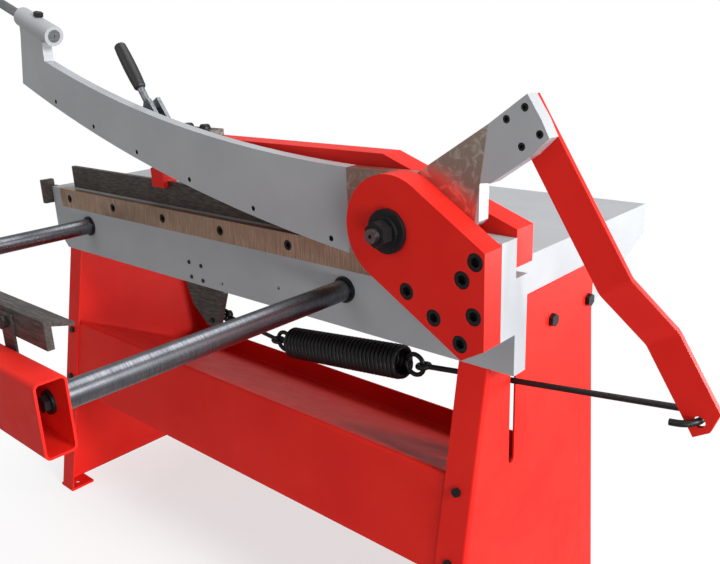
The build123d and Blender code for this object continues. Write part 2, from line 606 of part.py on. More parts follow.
bush = y_bar(*PIVOT, bush_r, ARM_FRONT, hub_back)
save("pivot_bush", bush - y_bar(*PIVOT, PIVOT_D / 2 + FIT, ARM_FRONT, hub_back))

grip_start = along(boss_left, BOSS_RISE_DEG, BAR_OUT)
grip_end = along(grip_start, BOSS_RISE_DEG, GRIP_LENGTH)
bar_tip = along(grip_end, BOSS_RISE_DEG, -8)
handle = bar(boss_start, boss_end, BAR_END_D / 2)
handle += bar(boss_end, (bar_tip[0], arm_mid_y, bar_tip[1]), BAR_D / 2)
centre_foot = along(BOSS_RIGHT, BOSS_RISE_DEG, BAR_CENTRE_D)
handle -= bar(boss_start, (centre_foot[0], arm_mid_y, centre_foot[1]), BAR_CENTRE_D / 2)
save("handle_bar", handle)
grip = bar((grip_start[0], arm_mid_y, grip_start[1]), (grip_end[0], arm_mid_y, grip_end[1]), GRIP_D / 2)
grip = fillet(grip.edges().filter_by(GeomType.CIRCLE), 6)
grip -= bar((grip_start[0], arm_mid_y, grip_start[1]), (bar_tip[0], arm_mid_y, bar_tip[1]), BAR_D / 2 + FIT)
save("handle_grip", grip)
screw_foot = (set_screw_foot[0], arm_mid_y, set_screw_foot[1])
screw_seat = along(boss_mid, BOSS_RISE_DEG - 90, BOSS_R)
set_screw = bar(screw_foot, (screw_seat[0], arm_mid_y, screw_seat[1]), SET_SCREW_D / 2)
set_screw += hexagon((screw_seat[0], arm_mid_y, screw_seat[1]),
                     (set_screw_top[0], arm_mid_y, set_screw_top[1]), 17)
save("handle_set_screw", set_screw)

lever_way = radians(LEVER_DEG)
lever_plane = Plane(origin=(LEVER_TOP[0], 0, LEVER_TOP[1]), x_dir=(cos(lever_way), 0, sin(lever_way)),
                    z_dir=(-sin(lever_way), 0, cos(lever_way)))
lever_y = ARM_BACK + LEVER_THICK / 2
lever_line = FilletPolyline((0, lever_y), (LEVER_JOGGLE[0], lever_y), (LEVER_JOGGLE[1], lever_y + LEVER_OFFSET),
                            (LEVER_LENGTH, lever_y + LEVER_OFFSET), radius=14)
lever = extrude(lever_plane * trace(lever_line, LEVER_THICK), LEVER_WIDTH / 2, both=True)
toe_plane = Plane(origin=(LEVER_TOP[0], 0, LEVER_TOP[1]), x_dir=(cos(lever_way), 0, sin(lever_way)),
                  z_dir=(0, -1, 0))
toe = polygon((LEVER_LENGTH, 0), (LEVER_LENGTH - 18, LEVER_WIDTH / 2), (LEVER_LENGTH, LEVER_WIDTH / 2))
lever -= extrude(toe_plane * toe, 100, both=True)
for x, z in LEVER_SCREWS:
    lever -= y_bar(x, z, LEVER_SCREW_D / 2 + HOLE_GAP, ARM_BACK, lever_back)
lever -= y_bar(*LEVER_HOLE, LEVER_HOLE_D / 2, 0, 100)
save("spring_lever", lever)

# ---- balance spring and links ----------------------------------------------------------------


def spot(xz, y=CHAIN_Y):
    """An (x, z) point placed in the spring's plane, or at another y."""
    return (xz[0], y, xz[1])


def direction(a, b):
    """Direction from one (x, z) point to another, in degrees from +X."""
    return degrees(atan2(b[1] - a[1], b[0] - a[0]))


def across(deg):
    """The direction square to a link that runs at an angle in the spring's plane."""
    return (-sin(radians(deg)), 0, cos(radians(deg)))


def ring(centre, axis, radius, wire_r):
    """A closed ring of round wire."""
    return Plane(origin=centre, z_dir=axis) * Torus(radius, wire_r)


ANCHOR_PLATE = 12.0
plate_face = polygon((425, MID_RIB_BOTTOM + 24), (545, MID_RIB_BOTTOM + 24), (545, -165),
                     (ANCHOR[0] + 16, ANCHOR[1] - 12), (ANCHOR[0] - 16, ANCHOR[1] - 14), (440, -205), (425, -165))
plate_back = BED_THICK + ANCHOR_PLATE
plate = xz_plate(plate_face, BED_THICK, plate_back)
for x, z in bracket_screws_xz:
    plate -= y_bar(x, z, BRACKET_SCREW_D / 2 + HOLE_GAP, BED_THICK, plate_back)
plate -= y_bar(*ANCHOR, ANCHOR_PIN_D / 2 + HOLE_GAP, BED_THICK, plate_back)
save("spring_bracket", plate)
save_group("bracket_screws", [
    hex_bolt((x, plate_back, z), (x, -1.5, z), 13, 5.5, BRACKET_SCREW_D) for x, z in bracket_screws_xz])
pin = y_bar(*ANCHOR, ANCHOR_PIN_D / 2, BED_THICK - 4, CHAIN_Y + 12)
pin += y_bar(*ANCHOR, ANCHOR_PIN_D / 2 + 3, plate_back, CHAIN_Y - 2 * LINK_WIRE_R)
pin += y_bar(*ANCHOR, ANCHOR_PIN_D / 2 + 3, CHAIN_Y + 9, CHAIN_Y + 12)
save("anchor_pin", pin)

hook_deg = direction(ANCHOR, SPRING_HEAD)
hook_left = along(ANCHOR, hook_deg, EYE_R)
hook_right = along(SPRING_HEAD, hook_deg, -EYE_R)
anchor_hook = ring(spot(ANCHOR), (0, 1, 0), EYE_R, LINK_WIRE_R)
anchor_hook += ring(spot(SPRING_HEAD), across(hook_deg), EYE_R, LINK_WIRE_R)
anchor_hook += bar(spot(hook_left), spot(hook_right), LINK_WIRE_R)
save("anchor_hook", anchor_hook)

spring_deg = direction(SPRING_HEAD, CHAIN_JOINT)
coil_start = along(SPRING_HEAD, spring_deg, HEAD_GAP)
coil_end = along(CHAIN_JOINT, spring_deg, -TAIL_GAP)
coil_length = hypot(coil_end[0] - coil_start[0], coil_end[1] - coil_start[1])
coil_plane = Plane(origin=spot(coil_start), z_dir=Vector(*spot(coil_end)) - Vector(*spot(coil_start)))
coil_path = Helix(coil_length / SPRING_TURNS, coil_length, SPRING_R)
coil_section = Plane(origin=coil_path @ 0, z_dir=coil_path % 0) * Circle(SPRING_WIRE_R)
coil = coil_plane * sweep(coil_section, path=coil_path, is_frenet=True)
save("counterbalance_spring", coil)

LOOP_R = 18.0                   # spring's end loops, to the middle of the wire
LINK_PLAY = 1.0                 # gap between a loop and the eye that it pulls on
END_CAP = 6.0


def end_loop(joint, coil_face, way_deg, eye_hole_r):
    """A spring's end: an upright loop, its neck, and the plug that carries it in the coil."""
    tip = along(joint, way_deg, eye_hole_r - LINK_WIRE_R - LINK_PLAY)
    centre = along(tip, way_deg, LOOP_R)
    inner = along(coil_face, way_deg, END_CAP)
    loop = ring(spot(centre), (0, 1, 0), LOOP_R, LINK_WIRE_R)
    loop += bar(spot(along(centre, way_deg, LOOP_R)), spot(inner), LINK_WIRE_R)
    return loop + bar(spot(coil_face), spot(inner), SPRING_R - SPRING_WIRE_R - 0.5)


ROD_EYE_R = 9.5
save("spring_head_loop", end_loop(SPRING_HEAD, coil_start, spring_deg, EYE_R - LINK_WIRE_R))
save("spring_tail_loop", end_loop(CHAIN_JOINT, coil_end, spring_deg + 180, ROD_EYE_R - TIE_ROD_R))

rod_deg = direction(CHAIN_JOINT, LEVER_HOLE)
U_BEND_R = 23.0
FRONT_LEG = 31.0
rod_eye_edge = along(CHAIN_JOINT, rod_deg, ROD_EYE_R)
front_y = CHAIN_Y - 2 * U_BEND_R
leg_end = along(LEVER_HOLE, rod_deg + 180, FRONT_LEG)
tie_path = FilletPolyline(spot(rod_eye_edge), spot(LEVER_HOLE), spot(LEVER_HOLE, front_y),
                          spot(leg_end, front_y), radius=U_BEND_R - 0.01)
tie_section = Plane(origin=tie_path @ 0, z_dir=tie_path % 0) * Circle(TIE_ROD_R)
tie_rod = sweep(tie_section, path=tie_path) + ring(spot(CHAIN_JOINT), across(rod_deg), ROD_EYE_R, TIE_ROD_R)
save("tie_rod", tie_rod)

# ---- guide at the arm's end ------------------------------------------------------------------

GUIDE_LEFT = -52.0
GUIDE_RIGHT = -38.0
guide = block(GUIDE_LEFT, GUIDE_RIGHT, -20, 8, -38, 17)
guide += block(GUIDE_LEFT, BED_LEFT, 8, 18, -42, 0)
guide -= bar((GUIDE_LEFT, *GUIDE_BOLT), (BED_LEFT, *GUIDE_BOLT), GUIDE_BOLT_D / 2 + HOLE_GAP)
save("arm_end_guide", guide)
guide_tip = (BED_LEFT + 20, *GUIDE_BOLT)
save("guide_bolt", hex_bolt((GUIDE_LEFT, *GUIDE_BOLT), guide_tip, 13, 5.5, GUIDE_BOLT_D))

# ---- front gauge -----------------------------------------------------------------------------
# The beam is four strips, mitred and welded along its rounded corners.

SLEEVE_D = 50.0
SLEEVE_LENGTH = 60.0
COLLAR_D = 44.0
COLLAR_THICK = 4.0
LOCK_D = 8.0
sleeve_end = BED_THICK + SLEEVE_LENGTH
lock_y = sleeve_end - 20
sleeves, collars, locks = [], [], []
for x in RODS_X:
    sleeve = y_bar(x, ROD_Z, SLEEVE_D / 2, BED_THICK, sleeve_end)
    sleeve -= y_bar(x, ROD_Z, rod_bore_r, BED_THICK, sleeve_end)
    lock_tip = x + ROD_D / 2 + 0.4
    lock_seat = x + SLEEVE_D / 2 + 1
    sleeve -= bar((x, lock_y, ROD_Z), (x + SLEEVE_D, lock_y, ROD_Z), LOCK_D / 2 + HOLE_GAP)
    sleeves.append(sleeve)
    locks.append(hex_bolt((lock_seat, lock_y, ROD_Z), (lock_tip, lock_y, ROD_Z), 13, 8, LOCK_D))
    collar = y_bar(x, ROD_Z, COLLAR_D / 2, -COLLAR_THICK, 0)
    collars.append(collar - y_bar(x, ROD_Z, ROD_D / 2 + 0.5, -COLLAR_THICK, 0))
save_group("rod_sleeves", sleeves)
save_group("rod_lock_screws", locks)
save_group("rod_collars", collars)

END_BOLT_D = 12.0
END_BOLT_REACH = 30.0
rods = []
for x in RODS_X:
    rod = y_bar(x, ROD_Z, ROD_D / 2, BEAM_BACK, ROD_BACK)
    rods.append(rod - y_bar(x, ROD_Z, END_BOLT_D / 2 + HOLE_GAP, BEAM_BACK, BEAM_BACK + END_BOLT_REACH))
save_group("gauge_rods", rods)

beam_left = RODS_X[0] - BEAM_OVERHANG
beam_right = RODS_X[1] + BEAM_OVERHANG
beam_mid = (BEAM_BACK - BEAM_WIDTH / 2, ROD_Z)
beam_outer = RectangleRounded(BEAM_WIDTH, BEAM_HEIGHT, 2.5 * BEAM_WALL)
beam_inner = RectangleRounded(BEAM_WIDTH - 2 * BEAM_WALL, BEAM_HEIGHT - 2 * BEAM_WALL, 1.5 * BEAM_WALL)
beam = yz_plate(Pos(*beam_mid) * (beam_outer - beam_inner), beam_left, beam_right)
wall_front = BEAM_BACK - BEAM_WALL
for x in RODS_X:
    beam -= y_bar(x, ROD_Z, END_BOLT_D / 2 + HOLE_GAP, wall_front, BEAM_BACK)
POSTS_X = (RODS_X[1] - 91.0, RODS_X[0] + 81.0)
POST_WIDTH = 30.0
POST_BOLT_D = 8.0
POST_BOLTS_Z = (ROD_Z + 26.0, 3.0)
RAIL_THICK = 9.0
rail_back = RAIL_FRONT + RAIL_THICK
posts, post_bolts = [], []
rail_profile = polygon((RAIL_FRONT, -14), (rail_back, -14), (rail_back, 14), (-466, 7), (-466, 12),
                       (rail_back, 21), (RAIL_FRONT, 21))
rail = yz_plate(rail_profile, sum(RODS_X) - RAIL_RIGHT, RAIL_RIGHT)
for x in POSTS_X:
    post = block(x - POST_WIDTH / 2, x + POST_WIDTH / 2, BEAM_BACK, RAIL_FRONT, POST_BOLTS_Z[0] - 16, 15)
    for z in POST_BOLTS_Z:
        bore = y_bar(x, z, POST_BOLT_D / 2 + HOLE_GAP, wall_front, rail_back)
        post -= bore
        beam -= bore
        rail -= bore
    posts.append(post)
    low_z, high_z = POST_BOLTS_Z
    post_bolts.append(hex_bolt((x, RAIL_FRONT, low_z), (x, wall_front - 8, low_z), 13, 5.5, POST_BOLT_D))
    post_bolts.append(hex_bolt((x, BEAM_BACK, high_z), (x, rail_back + 8, high_z), 13, 5.5, POST_BOLT_D))
half_width, half_height = BEAM_WIDTH / 2, BEAM_HEIGHT / 2
mitre = half_height - half_width
rear_strip = polygon((half_width, -half_height), (half_width, half_height), (0, mitre), (0, -mitre))
top_strip = polygon((-half_width, half_height), (0, mitre), (half_width, half_height))
strips = []
for strip in (rear_strip, mirror(rear_strip, about=Plane.YZ), top_strip, mirror(top_strip, about=Plane.XZ)):
    strips.append(beam & yz_plate(Pos(*beam_mid) * strip, beam_left, beam_right))
save_group("gauge_beam", strips)
save("stop_rail", rail)
save_group("stop_posts", posts)
save_group("stop_post_bolts", post_bolts)
END_WASHER_D = 30.0
END_WASHER_THICK = 4.0
washer_face = wall_front - END_WASHER_THICK
end_washers, end_bolts = [], []
for x in RODS_X:
    end_washer = y_bar(x, ROD_Z, END_WASHER_D / 2, washer_face, wall_front)
    end_washers.append(end_washer - y_bar(x, ROD_Z, END_BOLT_D / 2 + HOLE_GAP, washer_face, wall_front))
    seat = (x, washer_face, ROD_Z)
    end_bolts.append(hex_bolt(seat, (x, BEAM_BACK + END_BOLT_REACH - 3, ROD_Z), 19, 7.5, END_BOLT_D))
save_group("gauge_end_washers", end_washers)
save_group("gauge_end_bolts", end_bolts)

# ---- hold-down -------------------------------------------------------------------------------

hold_back = HOLD_FRONT + HOLD_THICK
hold_bar = block(HOLD_LEFT, HOLD_RIGHT, HOLD_FRONT, hold_back, 0, HOLD_HEIGHT)
hold_bar += block(HOLD_LEFT, HOLD_RIGHT, hold_back, hold_back + HOLD_FLANGE, 0, HOLD_THICK)
save("hold_down_bar", hold_bar)

FOOT_LEFT = 364.0
FOOT_RIGHT = 405.0
FOOT_LIP_Z = 37.0
FOOT_CAP = 26.0
PRONG = 11.0
pad_top = CLAMP[1] - CAM_R - CAM_OFFSET - CAM_REST_GAP
PAD_THICK = 14.0
CHEEK_GAP_Y = 5.0               # clamp pieces stand this far inside the cantilever's width
pad_front = CHEEK_GAP_Y
pad_back = REAR_CHEEK_THICK - CHEEK_GAP_Y
foot = block(FOOT_LEFT, FOOT_RIGHT, HOLD_FRONT - PRONG, hold_back + PRONG, FOOT_LIP_Z, HOLD_HEIGHT + FOOT_CAP)
foot -= block(FOOT_LEFT, FOOT_RIGHT, HOLD_FRONT - HOLE_GAP, hold_back + HOLE_GAP, FOOT_LIP_Z, HOLD_HEIGHT)
foot += block(FOOT_LEFT + 6, FOOT_RIGHT, HOLD_FRONT - PRONG, pad_back, HOLD_HEIGHT + FOOT_CAP, pad_top)
foot += block(FOOT_LEFT + 6, CLAMP[0] + CAM_R, pad_front, pad_back, pad_top - PAD_THICK, pad_top)
save("clamp_foot", foot)

STRAP_THICK = 12.0
STRAP_RIGHT = 585.0
LUG_HALF = 6.0                  # half the thickness of the bracket's lug
LUG_R = 13.0
FORK_THICK = 8.0
FORK_PLAY = 0.5
strap_top = REAR_CHEEK_TOP + STRAP_THICK
bracket = block(CANTILEVER_LEFT + 4, STRAP_RIGHT, CHEEK_GAP_Y, pad_back, REAR_CHEEK_TOP, strap_top)
lug_face = Pos(*CLAMP) * Circle(LUG_R)
lug_face += polygon((CLAMP[0], CLAMP[1] + LUG_R), (CANTILEVER_LEFT + 40, strap_top),
                    (CANTILEVER_LEFT + 40, REAR_CHEEK_TOP), (CLAMP[0], CLAMP[1] - LUG_R))
bracket += xz_plate(lug_face, clamp_mid_y - LUG_HALF, clamp_mid_y + LUG_HALF)
bracket -= y_bar(*CLAMP, CLAMP_PIN_D / 2 + FIT, 0, REAR_CHEEK_THICK)
bracket_bolts = []
for x in BRACKET_BOLTS_X:
    bore = bar((x, clamp_mid_y, REAR_CHEEK_TOP), (x, clamp_mid_y, strap_top + 20), BRACKET_BOLT_D / 2 + HOLE_GAP)
    bracket -= bore
    stem = bar((x, clamp_mid_y, REAR_CHEEK_TOP - 26), (x, clamp_mid_y, strap_top), BRACKET_BOLT_D / 2)
    dome = Pos(x, clamp_mid_y, strap_top) * Sphere(BRACKET_BOLT_D * 0.9)
    bracket_bolts.append(stem + (dome & block(x - 20, x + 20, 0, 50, strap_top, strap_top + 8)))
save("clamp_bracket", bracket)
save_group("clamp_bracket_bolts", bracket_bolts)

cam_centre = (CLAMP[0], CLAMP[1] - CAM_OFFSET)
fork_face = Pos(*cam_centre) * Circle(CAM_R)
fork_face += polygon((cam_centre[0] - CAM_R, cam_centre[1]), (376, 190), (381, 206), (396, 214), (426, 174),
                     (cam_centre[0] + CAM_R, cam_centre[1]))
fork_inner = LUG_HALF + FORK_PLAY
fork_outer = fork_inner + FORK_THICK
clamp_lever = xz_plate(fork_face, clamp_mid_y - fork_outer, clamp_mid_y - fork_inner)
clamp_lever += xz_plate(fork_face, clamp_mid_y + fork_inner, clamp_mid_y + fork_outer)
neck_start = along(CLAMP, CLAMP_LEAN_DEG, LUG_R + 14)
neck_end = along(CLAMP, CLAMP_LEAN_DEG, 76)
clamp_grip_end = along(CLAMP, CLAMP_LEAN_DEG, 172)
NECK_R = 7.0
bridge = Pos(*along(CLAMP, CLAMP_LEAN_DEG, LUG_R + 18)) * Rot(0, 0, CLAMP_LEAN_DEG) * Rectangle(12, 22)
clamp_lever += xz_plate(bridge, clamp_mid_y - fork_outer, clamp_mid_y + fork_outer)
clamp_lever += bar(spot(neck_start, clamp_mid_y), spot(clamp_grip_end, clamp_mid_y), NECK_R)
clamp_lever -= y_bar(*CLAMP, CLAMP_PIN_D / 2 + FIT, 0, REAR_CHEEK_THICK)
save("clamp_lever", clamp_lever)
clamp_grip = bar(spot(neck_end, clamp_mid_y), spot(along(clamp_grip_end, CLAMP_LEAN_DEG, 6), clamp_mid_y), 13.5)
clamp_grip = fillet(clamp_grip.edges().filter_by(GeomType.CIRCLE), 4)
clamp_grip -= bar(spot(neck_end, clamp_mid_y), spot(clamp_grip_end, clamp_mid_y), NECK_R + FIT)
save("clamp_grip", clamp_grip)
save("clamp_pin", y_bar(*CLAMP, CLAMP_PIN_D / 2, clamp_mid_y - fork_outer - 2, clamp_mid_y + fork_outer + 2))
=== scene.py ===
"""Looks of a hand lever guillotine shear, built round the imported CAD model.

Lengths are in metres, and those written as a number times MM are given in millimetres."""

import json
import math

import bpy
import numpy as np
from mathutils import Matrix, Vector


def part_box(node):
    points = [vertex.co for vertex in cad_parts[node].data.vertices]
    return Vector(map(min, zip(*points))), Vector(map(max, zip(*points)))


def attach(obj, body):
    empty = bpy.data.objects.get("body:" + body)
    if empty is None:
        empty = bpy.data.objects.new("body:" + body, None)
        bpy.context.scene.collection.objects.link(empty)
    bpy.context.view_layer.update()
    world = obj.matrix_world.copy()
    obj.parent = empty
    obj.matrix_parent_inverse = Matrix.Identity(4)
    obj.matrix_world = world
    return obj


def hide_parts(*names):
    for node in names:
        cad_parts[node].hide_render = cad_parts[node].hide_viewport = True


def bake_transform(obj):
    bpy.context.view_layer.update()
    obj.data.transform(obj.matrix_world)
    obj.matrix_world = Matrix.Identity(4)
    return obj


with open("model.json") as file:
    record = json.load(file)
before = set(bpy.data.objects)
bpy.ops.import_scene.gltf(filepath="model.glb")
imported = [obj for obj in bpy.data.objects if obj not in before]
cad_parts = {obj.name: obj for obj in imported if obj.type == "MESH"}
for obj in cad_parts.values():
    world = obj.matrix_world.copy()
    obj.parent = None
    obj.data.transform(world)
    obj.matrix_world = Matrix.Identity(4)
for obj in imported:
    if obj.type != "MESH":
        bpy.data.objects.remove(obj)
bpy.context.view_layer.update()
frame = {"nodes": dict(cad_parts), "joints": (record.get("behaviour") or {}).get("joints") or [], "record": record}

MM = 0.001
nodes = frame["nodes"]


# ---- shader helpers --------------------------------------------------------------------------

def linear(code):
    """sRGB hex to linear RGBA."""
    parts = [int(code[i:i + 2], 16) / 255 for i in (1, 3, 5)]
    return [c / 12.92 if c <= 0.04045 else ((c + 0.055) / 1.055) ** 2.4 for c in parts] + [1.0]


def add(tree, kind, **values):
    """One shader node, with its sockets and properties set by name."""
    node = tree.nodes.new(kind)
    for name, value in values.items():
        label = name.replace("_", " ")
        if label in node.inputs:
            node.inputs[label].default_value = value
        else:
            setattr(node, name, value)
    return node


def new_material(name, **values):
    """A material with a Principled shader; returns it with its tree and shader."""
    mat = bpy.data.materials.new(name)
    mat.use_nodes = True
    tree = mat.node_tree
    shader = tree.nodes["Principled BSDF"]
    for key, value in values.items():
        shader.inputs[key.replace("_", " ")].default_value = value
    return mat, tree, shader


def object_pattern(tree, mm, stretch=(1, 1, 1), detail=3.0):
    """Noise in Object coordinates, its grains mm millimetres wide and drawn out along each axis
    by stretch."""
    coord = add(tree, "ShaderNodeTexCoord")
    mapping = add(tree, "ShaderNodeMapping", Scale=[1 / (mm * MM * s) for s in stretch])
    noise = add(tree, "ShaderNodeTexNoise", Scale=1.0, Detail=detail, Roughness=0.6)
    tree.links.new(coord.outputs["Object"], mapping.inputs["Vector"])
    tree.links.new(mapping.outputs["Vector"], noise.inputs["Vector"])
    return noise.outputs["Fac"]


def ranged(tree, source, low, high, start=0.3, end=0.7):
    """A value that runs from low to high while its source runs from start to end."""
    node = add(tree, "ShaderNodeMapRange", From_Min=start, From_Max=end, To_Min=low, To_Max=high)
    tree.links.new(source, node.inputs["Value"])
    return node.outputs["Result"]


def math_node(tree, operation, first, second):
    """One arithmetic node on sockets or numbers."""
    node = add(tree, "ShaderNodeMath", operation=operation)
    for socket, value in zip(node.inputs, (first, second)):
        if isinstance(value, (int, float)):
            socket.default_value = value
        else:
            tree.links.new(value, socket)
    return node.outputs[0]


def mixed(tree, factor, first, second):
    """Two colours mixed by a factor; a colour is hex or a socket."""
    node = add(tree, "ShaderNodeMix", data_type="RGBA")
    for socket, colour in ((node.inputs[6], first), (node.inputs[7], second)):
        if isinstance(colour, str):
            socket.default_value = linear(colour)
        else:
            tree.links.new(colour, socket)
    tree.links.new(factor, node.inputs[0])
    return node.outputs[2]


def bump(tree, shader, height, mm, strength=1.0):
    """Bumps of a height in millimetres."""
    node = add(tree, "ShaderNodeBump", Strength=strength, Distance=mm * MM)
    tree.links.new(height, node.inputs["Height"])
    tree.links.new(node.outputs["Normal"], shader.inputs["Normal"])


# ---- materials -------------------------------------------------------------------------------

TONE_MM = 180                  # width of the faint tone changes in the paint
WEAR_MM = 40                   # width of its duller and glossier patches
PEEL_MM = 2.2                  # width of its orange peel
STAIN_MM = 60                  # width of the stains on bare steel
STAIN_DEPTH = 0.45             # how far a full stain turns the steel to its dark tone
GREY = ("#A9ACAF", "#9EA1A5")  # the grey enamel's light and dark tones


def paint_tone(tree, light, dark):
    """A paint's colour, drifting between two tones over the panels."""
    return mixed(tree, ranged(tree, object_pattern(tree, TONE_MM), 0, 1), light, dark)


def enamel(name, light, dark, roughness):
    """Sprayed enamel: a little orange peel, and faint changes of tone and gloss over the panels."""
    mat, tree, shader = new_material(name, Coat_Weight=0.04, Coat_Roughness=0.25,
                                     Specular_IOR_Level=0.14)
    tree.links.new(paint_tone(tree, light, dark), shader.inputs["Base Color"])
    wear = object_pattern(tree, WEAR_MM)
    tree.links.new(ranged(tree, wear, roughness - 0.05, roughness + 0.07),
                   shader.inputs["Roughness"])
    bump(tree, shader, object_pattern(tree, PEEL_MM, detail=1.0), 0.05, 0.35)
    return mat


def bare_steel(name, light, dark, roughness, grain, stretch, metallic=1.0):
    """Bare metal with stains, and with tool marks grain millimetres wide drawn out by stretch."""
    mat, tree, shader = new_material(name, Metallic=metallic)
    marks = object_pattern(tree, grain, stretch, 4.0)
    worn = mixed(tree, ranged(tree, marks, 0, 1, 0.35, 0.65), light, dark)
    stain = ranged(tree, object_pattern(tree, STAIN_MM), 0, 1)
    stained = mixed(tree, ranged(tree, stain, 0, STAIN_DEPTH, 0.4, 1), worn, dark)
    tree.links.new(stained, shader.inputs["Base Color"])
    tree.links.new(ranged(tree, marks, roughness - 0.08, roughness + 0.1),
                   shader.inputs["Roughness"])
    bump(tree, shader, marks, 0.03, 0.4)
    return mat


MATERIALS = {
    # red enamel, sprayed over folded sheet and flame-cut plate
    "red_paint": enamel("red_enamel", "#DE271D", "#D31D16", 0.46),
    # light grey enamel, sprayed over machined plate and castings
    "grey_paint": enamel("grey_enamel", *GREY, 0.42),
    # tool steel, surface-ground across its width, with old oil on it
    "blade_steel": bare_steel("ground_blade_steel", "#CDAF97", "#9C7D6C", 0.36, 1.0, (1, 6, 30)),
    # blackened steel screws, links and springs
    "black_steel": bare_steel("blackened_steel", "#2A2A2C", "#141416", 0.42, 3.0, (1, 1, 1), 0.55),
    # hot-rolled steel with its scale, oiled
    "dark_steel": bare_steel("oiled_mill_scale_steel", "#5F5854", "#3B3431", 0.46, 4.0, (6, 1, 1),
                             0.6),
    # turned bar: fine rings round a rod that lies along Y
    "turned_steel": bare_steel("turned_steel_bar", "#8E9096", "#55575D", 0.3, 0.6, (40, 1, 40)),
    # machined bronze for the pivot's bush
    "bronze": bare_steel("machined_bronze", "#B98A4C", "#8F6734", 0.35, 0.8, (20, 1, 20)),
    # moulded plastic for the two grips
    "black_plastic": new_material("moulded_black_plastic", Base_Color=linear("#151517"),
                                  Roughness=0.45)[0],
}

# pieces that are brighter than the rest of their slot: the handle's bar, the hold-down's lever
# and the pivot's shaft, whose stud shows
OWN_FINISH = {
    "handle_bar": bare_steel("bright_drawn_bar", "#A4A6A8", "#74777B", 0.3, 0.8, (30, 30, 1)),
    "clamp_lever": bare_steel("dull_zinc_plate", "#8E9499", "#666B70", 0.42, 5.0, (1, 1, 1), 0.8),
    "pivot_shaft": bare_steel("bright_stud_end", "#9A9B9C", "#66686B", 0.32, 0.8, (20, 1, 20)),
}


def dress(node, material):
    """A CAD node shown in one material."""
    slots = nodes[node].data.materials
    for i in range(len(slots)):
        slots[i] = material


for sub in frame["record"]["subparts"]:
    dress(sub["node"], OWN_FINISH.get(sub["node"], MATERIALS[sub["material_slot"]]))

# the arm is painted, but its hub is left bare where the cheeks face it, surface-ground in swirls
HUB_LEFT = 112 * MM            # from the pivot to the paint's edge on the blade's side
HUB_RIGHT = 121 * MM           # and on the tail, at LEAN_FROM above the pivot
LEAN_FROM = 70 * MM
LEAN = 0.15                    # the tail's edge moves this much to +X for each metre of height
EDGE_BLUR = 0.8 * MM           # to each side of the edge
SWIRLS_PER_M = 38

arm_mat, arm_tree, arm_shader = new_material("grey_enamel_with_ground_hub", Coat_Roughness=0.12)
coord = add(arm_tree, "ShaderNodeTexCoord")
split = add(arm_tree, "ShaderNodeSeparateXYZ")
arm_tree.links.new(coord.outputs["Object"], split.inputs["Vector"])
pivot_low, pivot_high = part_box("pivot_bush")
pivot = (Vector(pivot_low) + Vector(pivot_high)) / 2
above = math_node(arm_tree, "SUBTRACT", split.outputs["Z"], pivot.z + LEAN_FROM)
tail_edge = math_node(arm_tree, "ADD", math_node(arm_tree, "MULTIPLY", above, LEAN),
                      pivot.x + HUB_RIGHT)
right = math_node(arm_tree, "SUBTRACT", tail_edge, split.outputs["X"])
left = math_node(arm_tree, "SUBTRACT", split.outputs["X"], pivot.x - HUB_LEFT)
inside = math_node(arm_tree, "MINIMUM", left, right)
bare = ranged(arm_tree, inside, 0, 1, -EDGE_BLUR, EDGE_BLUR)
swirl_coord = add(arm_tree, "ShaderNodeMapping", Scale=(SWIRLS_PER_M,) * 3)
arm_tree.links.new(coord.outputs["Object"], swirl_coord.inputs["Vector"])
swirl_noise = add(arm_tree, "ShaderNodeTexNoise", Scale=1.0, Detail=2.0, Roughness=0.5,
                  Distortion=2.5)
arm_tree.links.new(swirl_coord.outputs["Vector"], swirl_noise.inputs["Vector"])
swirl = ranged(arm_tree, swirl_noise.outputs["Fac"], 0, 1, 0.5, 0.75)
ground = mixed(arm_tree, swirl, "#A8978A", "#D2C9C0")
hub_and_paint = mixed(arm_tree, bare, paint_tone(arm_tree, *GREY), ground)
arm_tree.links.new(hub_and_paint, arm_shader.inputs["Base Color"])
arm_tree.links.new(bare, arm_shader.inputs["Metallic"])
arm_tree.links.new(ranged(arm_tree, bare, 0.36, 0.3, 0, 1), arm_shader.inputs["Roughness"])
arm_tree.links.new(ranged(arm_tree, bare, 0.35, 0.0, 0, 1), arm_shader.inputs["Coat Weight"])
bump(arm_tree, arm_shader, swirl, 0.02, 0.15)
dress("blade_arm", arm_mat)

# soft edges that catch the light, as widths in millimetres
BEVELS = {
    "blade_arm": 1.5, "upper_blade": 0.4, "lower_blade": 0.4, "bed_front_plate": 1.5,
    "table_top": 2.0, "front_cheek": 1.5, "rear_cheek": 1.5, "cheek_spacer": 1.0,
    "pivot_nut": 0.8, "pivot_washer": 0.8, "spring_lever": 1.2, "spring_bracket": 0.8,
    "hold_down_bar": 1.0, "clamp_foot": 1.5, "clamp_lever": 1.0, "clamp_bracket": 1.0,
    "arm_end_guide": 1.0, "stop_rail": 0.8, "gauge_rods": 1.0, "chute_panel": 0.5,
    "left_leg": 0.5, "right_leg": 0.5, "foot_plates": 0.8,
}
BEVEL_ANGLE = math.radians(40)  # flatter edges stay as they are
for name, width in BEVELS.items():
    modifier = nodes[name].modifiers.new("edge", "BEVEL")
    modifier.width = width * MM
    modifier.segments = 2
    modifier.limit_method = "ANGLE"
    modifier.angle_limit = BEVEL_ANGLE
    modifier.harden_normals = False
    modifier.use_clamp_overlap = True


# ---- detailed pieces -------------------------------------------------------------------------

